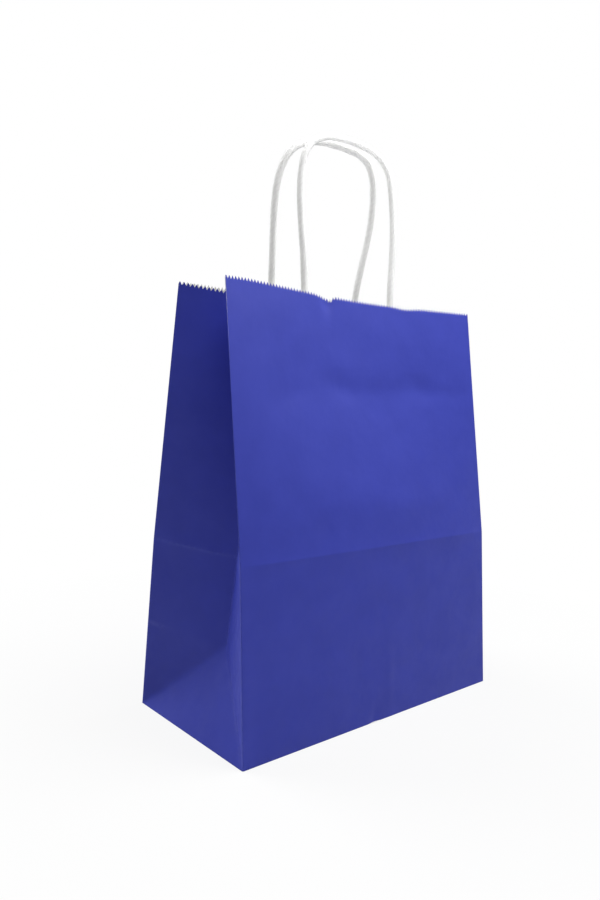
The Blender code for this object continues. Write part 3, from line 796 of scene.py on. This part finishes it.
def rope_paper():
    """White paper with painted shade in the grooves, and streaks that run along the strands. Light that
    enters such thin fibres comes out a few millimetres on, so the rope is pale on its shaded side too."""
    material, tree, shader = new_material("white_rope", ROPE_WHITE, roughness=0.7, specular=0.35)
    shader.inputs["Subsurface Weight"].default_value = 1
    shader.inputs["Subsurface Radius"].default_value = (1, 1, 1)
    shader.inputs["Subsurface Scale"].default_value = 9 * MM
    place = tree.nodes.new("ShaderNodeCombineXYZ")
    for axis, name, scale in (("X", "strand", 3.0), ("Y", "strand_side", 3.0), ("Z", "along", 0.22)):
        tree.links.new(product(tree, attribute(tree, name), scale), place.inputs[axis])
    streaks = noise(tree, place.outputs["Vector"], scale=2.2, detail=3, roughness=0.6)
    colour = blend_colours(tree, ranged(tree, streaks, (0.35, 0.65)), ROPE_WHITE, ROPE_STREAK)
    # Painted shade in the grooves, strongest at their bottoms
    groove_shade = ranged(tree, attribute(tree, "groove"), (0.15, 1), (0, 0.6))
    tree.links.new(blend_colours(tree, groove_shade, colour, ROPE_GROOVE_SHADE), shader.inputs["Base Color"])
    fuzz = noise(tree, coordinates(tree), scale=1100, detail=3, roughness=0.6)
    fibres = bump(tree, fuzz, FIBRE_DEPTH, bump(tree, streaks, CREASE_DEPTH))
    tree.links.new(fibres, shader.inputs["Normal"])
    return material


LOOKS["rope"] = rope_paper()
handles = {FRONT: rope("front_rope", FRONT), BACK: rope("back_rope", BACK)}

# %% [markdown]
# ## The patches that hold the rope
#
# Each patch is a strip of white paper folded double at the bottom, with the rope's ends glued between
# its layers. The layer by the panel is flat, and the other stands up in a tent over each rope end. One
# grid follows the strip from its first edge, down, round the fold and up again.

# %% Patches
PATCH_WIDTH, PATCH_HEIGHT, PATCH_BELOW_RIM = 130 * MM, 41 * MM, 10 * MM
PATCH_ROWS, PATCH_COLUMNS = 42, 131
TENT_WIDTH, TENT_FADE = 15 * MM, 6 * MM


def tent(side, x, v):
    """Height of the tents: a squared cosine across each rope end, fading below it."""
    legs = [ROUTE[side][0][0] * MM, ROUTE[side][-1][0] * MM]
    near = np.min([np.abs(x - leg) for leg in legs], axis=0) / (TENT_WIDTH / 2)
    across = np.cos(math.pi / 2 * np.minimum(near, 1)) ** 2
    rope_end = HEIGHT - ROPE_TAIL
    return (ROPE + 2 * GAP) * across * np.interp(v, [rope_end - TENT_FADE, rope_end - GAP], [0, 1])


def patch(name, side):
    """Layers at their own depths behind the panel and its dents, joined by a half round at the fold."""
    middle = (ROUTE[side][0][0] + ROUTE[side][-1][0]) * MM / 2
    top = HEIGHT - PATCH_BELOW_RIM
    levels = np.linspace(top - PATCH_HEIGHT, top, PATCH_ROWS)
    turn = np.radians([150, 120, 90, 60, 30])
    v = np.concatenate([levels[::-1], levels[0] - 0.1 * MM * np.sin(turn), levels])
    share = np.concatenate([np.zeros(PATCH_ROWS), 0.5 + 0.5 * np.cos(turn), np.ones(PATCH_ROWS)])
    x = np.linspace(middle - PATCH_WIDTH / 2, middle + PATCH_WIDTH / 2, PATCH_COLUMNS)
    v, x = np.meshgrid(v, x, indexing="ij")
    share = np.broadcast_to(share[:, None], v.shape)
    lift = tent(side, x, v) * share
    s = HALF_WIDTH + x if side == FRONT else 1.5 * WIDTH + DEPTH - x
    depth = PAPER + GAP + PATCH_PAPER * (0.5 + share) + lift - relief(s, v)
    middle_face = behind_panel(side, x, v, depth)
    slope_row, slope_column = np.gradient(middle_face, axis=0), np.gradient(middle_face, axis=1)
    normal = np.cross(slope_column, slope_row)
    normal /= np.maximum(np.linalg.norm(normal, axis=-1, keepdims=True), 1e-12)
    half = normal * PATCH_PAPER / 2
    return closed_sheet(name, middle_face + half, middle_face - half, [LOOKS["white"]], [0] * 6)


patches = {FRONT: patch("front_patch", FRONT), BACK: patch("back_patch", BACK)}

# %% [markdown]
# ## What rides on what
#
# The bag has one body, because paper has no joints. Every piece rides on it, and the plain solids of the
# imported model that the pieces refine are hidden.

# %% Riding
for piece in [bag, *bottom]:
    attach(piece, "root")
for piece in handles.values():
    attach(piece, "root")
for piece in patches.values():
    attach(piece, "root")
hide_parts("bag_body")
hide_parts("handle_front")
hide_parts("handle_back")
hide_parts("patch_front")
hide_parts("patch_back")

# %% [markdown]
# ## Floor and light
#
# The photograph has a pure white ground with hardly a shadow. The floor is a white diffuse sheet, and
# camera rays see it mostly as plain white, so that only a faint shadow is left. Most of the light comes
# from above. A near lamp over the bag's front right makes the front fade towards its foot, a large lamp
# high behind the bag lights the rope and the leaning foot of the gusset, and a weak sky fills the rest.


# %% Floor
FLOOR_HALF, FLOOR_DROP = 6, 0.05 * MM


def floor_material():
    """For the lamps a diffuse white; for the camera and for reflections mostly a plain white."""
    material = bpy.data.materials.new("floor")
    material.use_nodes = True
    tree = material.node_tree
    tree.nodes.clear()
    output = tree.nodes.new("ShaderNodeOutputMaterial")
    diffuse = tree.nodes.new("ShaderNodeBsdfDiffuse")
    diffuse.inputs["Color"].default_value = (0.75, 0.75, 0.75, 1)
    white = tree.nodes.new("ShaderNodeEmission")
    white.inputs["Color"].default_value = (1, 1, 1, 1)
    middle = tree.nodes.new("ShaderNodeVectorMath")
    middle.operation = "LENGTH"
    tree.links.new(coordinates(tree), middle.inputs[0])
    plain = ranged(tree, middle.outputs["Value"], (0.12, 0.4), (0.88, 1))
    mix = tree.nodes.new("ShaderNodeMixShader")
    tree.links.new(product(tree, seen_rays(tree), plain), mix.inputs["Fac"])
    tree.links.new(diffuse.outputs[0], mix.inputs[1])
    tree.links.new(white.outputs[0], mix.inputs[2])
    tree.links.new(mix.outputs[0], output.inputs["Surface"])
    return material


def seen_rays(tree):
    """1 for camera, glossy and transmission rays."""
    path = tree.nodes.new("ShaderNodeLightPath")
    total = path.outputs["Is Camera Ray"]
    for label in ("Is Glossy Ray", "Is Transmission Ray"):
        node = tree.nodes.new("ShaderNodeMath")
        node.operation = "MAXIMUM"
        tree.links.new(total, node.inputs[0])
        tree.links.new(path.outputs[label], node.inputs[1])
        total = node.outputs["Value"]
    return total


def add_floor():
    """A square 0.05 mm below the bag, so that it never lies in one plane with the bottom's paper."""
    mesh = bpy.data.meshes.new("floor")
    corners = [(-1, -1), (1, -1), (1, 1), (-1, 1)]
    points = [(FLOOR_HALF * x, FLOOR_HALF * y, -FLOOR_DROP) for x, y in corners]
    mesh.from_pydata(points, [], [(0, 1, 2, 3)])
    mesh.materials.append(floor_material())
    floor = bpy.data.objects.new("floor", mesh)
    bpy.context.scene.collection.objects.link(floor)
    return floor


add_floor()


# %% Light
BAG_MIDDLE = np.array([0, 0, 0.13])


def add_lamp(name, towards, distance, size, watts):
    """A square lamp at a distance along a direction, facing the bag's middle."""
    data = bpy.data.lights.new(name, "AREA")
    data.size = size
    data.energy = watts
    lamp = bpy.data.objects.new(name, data)
    direction = np.array(towards) / np.linalg.norm(towards)
    side = np.cross([0, 0, 1], direction)
    side /= np.linalg.norm(side)
    axes = np.stack([side, np.cross(direction, side), direction], axis=1)
    place = Matrix.Translation((BAG_MIDDLE + distance * direction).tolist())
    lamp.matrix_world = place @ Matrix(axes.tolist()).to_4x4()
    lamp.visible_camera = False
    bpy.context.scene.collection.objects.link(lamp)
    return lamp


def add_sky():
    """Ambient light, brighter from above; plain white where the camera or a reflection sees it."""
    world = bpy.data.worlds.new("studio")
    bpy.context.scene.world = world
    world.use_nodes = True
    tree = world.node_tree
    tree.nodes.clear()
    output = tree.nodes.new("ShaderNodeOutputWorld")
    place = tree.nodes.new("ShaderNodeTexCoord")
    axes = tree.nodes.new("ShaderNodeSeparateXYZ")
    tree.links.new(place.outputs["Generated"], axes.inputs[0])
    ambient = tree.nodes.new("ShaderNodeBackground")
    tree.links.new(ranged(tree, axes.outputs["Z"], (-0.2, 1), (0.08, 0.18)), ambient.inputs["Strength"])
    white = tree.nodes.new("ShaderNodeBackground")
    mix = tree.nodes.new("ShaderNodeMixShader")
    white.inputs["Color"].default_value = (1, 1, 1, 1)
    tree.links.new(seen_rays(tree), mix.inputs["Fac"])
    tree.links.new(ambient.outputs[0], mix.inputs[1])
    tree.links.new(white.outputs[0], mix.inputs[2])
    tree.links.new(mix.outputs[0], output.inputs["Surface"])


add_lamp("key", towards=(0.25, -0.3, 0.9), distance=0.6, size=0.4, watts=4.2)
add_lamp("back", towards=(-0.3, 0.6, 0.75), distance=1.6, size=0.9, watts=19)
add_sky()
bpy.context.scene.view_settings.view_transform = "Standard"
